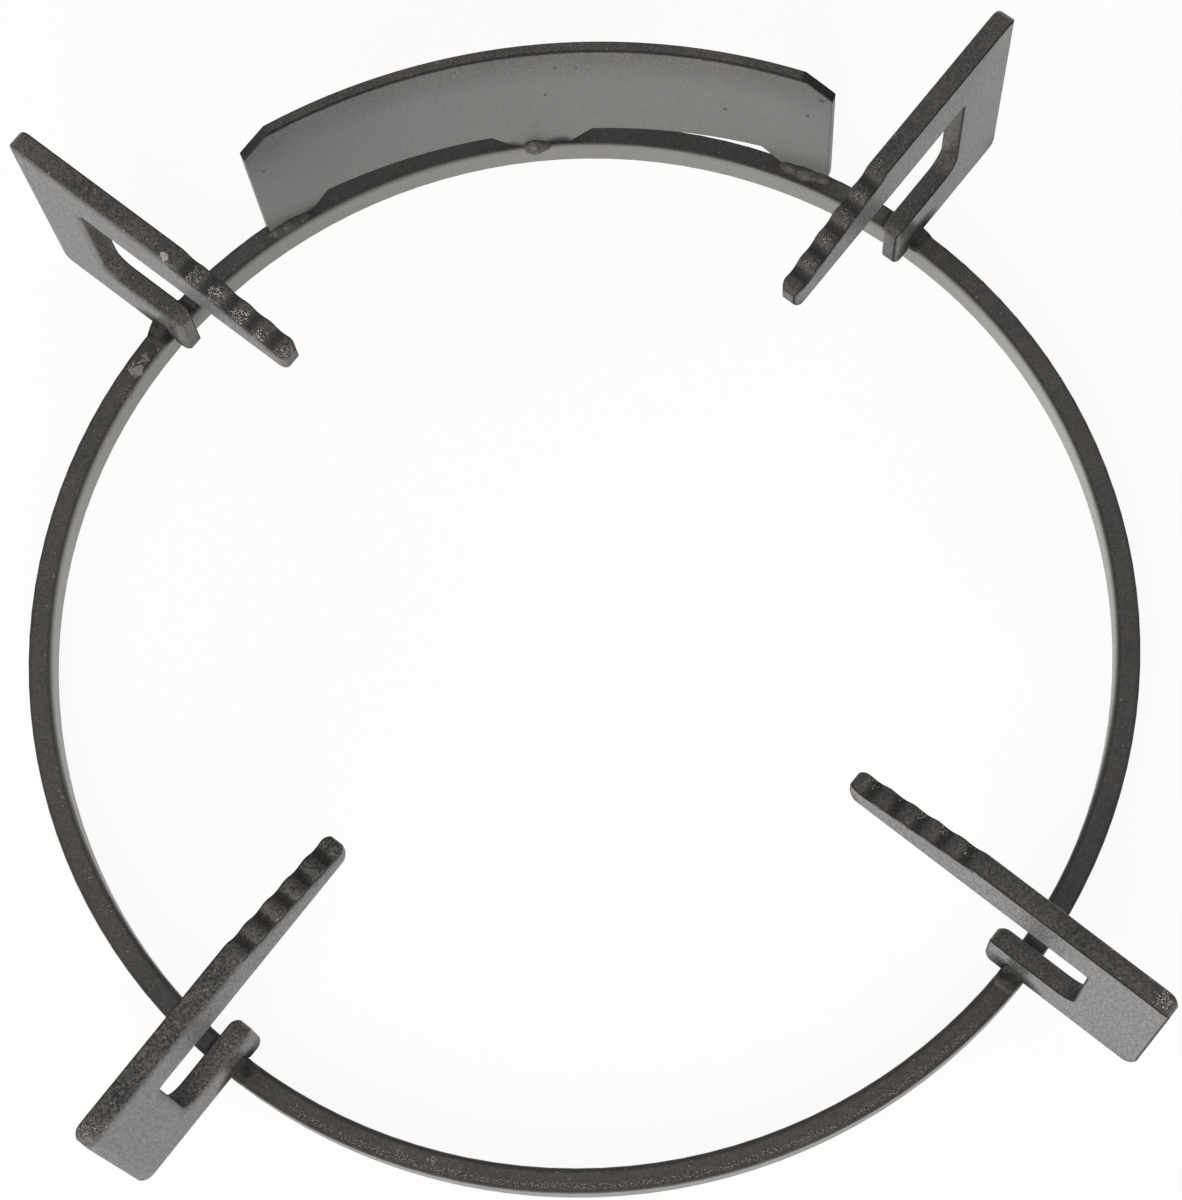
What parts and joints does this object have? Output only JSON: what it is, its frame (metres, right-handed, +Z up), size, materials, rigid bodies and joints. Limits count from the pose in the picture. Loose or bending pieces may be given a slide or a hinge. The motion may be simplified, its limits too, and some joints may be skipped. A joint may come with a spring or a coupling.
{
  "type": "wok ring",
  "caption": "Steel wok ring for a gas hob: a flat hoop with upright C-shaped plate fingers, each with a wavy sloping seat for the pan, and a curved heat shield at the back.",
  "frame": {"origin": "on the hob's surface at the axis of the hoop", "axes": "+Z up, towards the pan; +Y towards the heat shield at the back; +X to the right"},
  "size_m": [0.205, 0.205, 0.0565],
  "materials": {
    "hoop_coating": "satin dark grey heat-proof coating on steel bar",
    "finger_coating": "satin dark grey heat-proof coating on steel plate, fine grain",
    "shield_coating": "even satin dark grey heat-proof coating on sheet steel",
    "weld": "coated weld metal, a little glossier and darker than the steel"
  },
  "bodies": {
    "root": {"support_ring": "hoop_coating", "back_right_finger": "finger_coating", "back_left_finger": "finger_coating", "front_left_finger": "finger_coating", "front_right_finger": "finger_coating", "heat_shield": "shield_coating", "back_right_anticlockwise_weld": "weld", "back_right_clockwise_weld": "weld", "back_left_anticlockwise_weld": "weld", "back_left_clockwise_weld": "weld", "front_left_anticlockwise_weld": "weld", "front_left_clockwise_weld": "weld", "front_right_anticlockwise_weld": "weld", "front_right_clockwise_weld": "weld", "shield_left_weld": "weld", "shield_middle_weld": "weld", "shield_right_weld": "weld"}
  },
  "joints": []
}
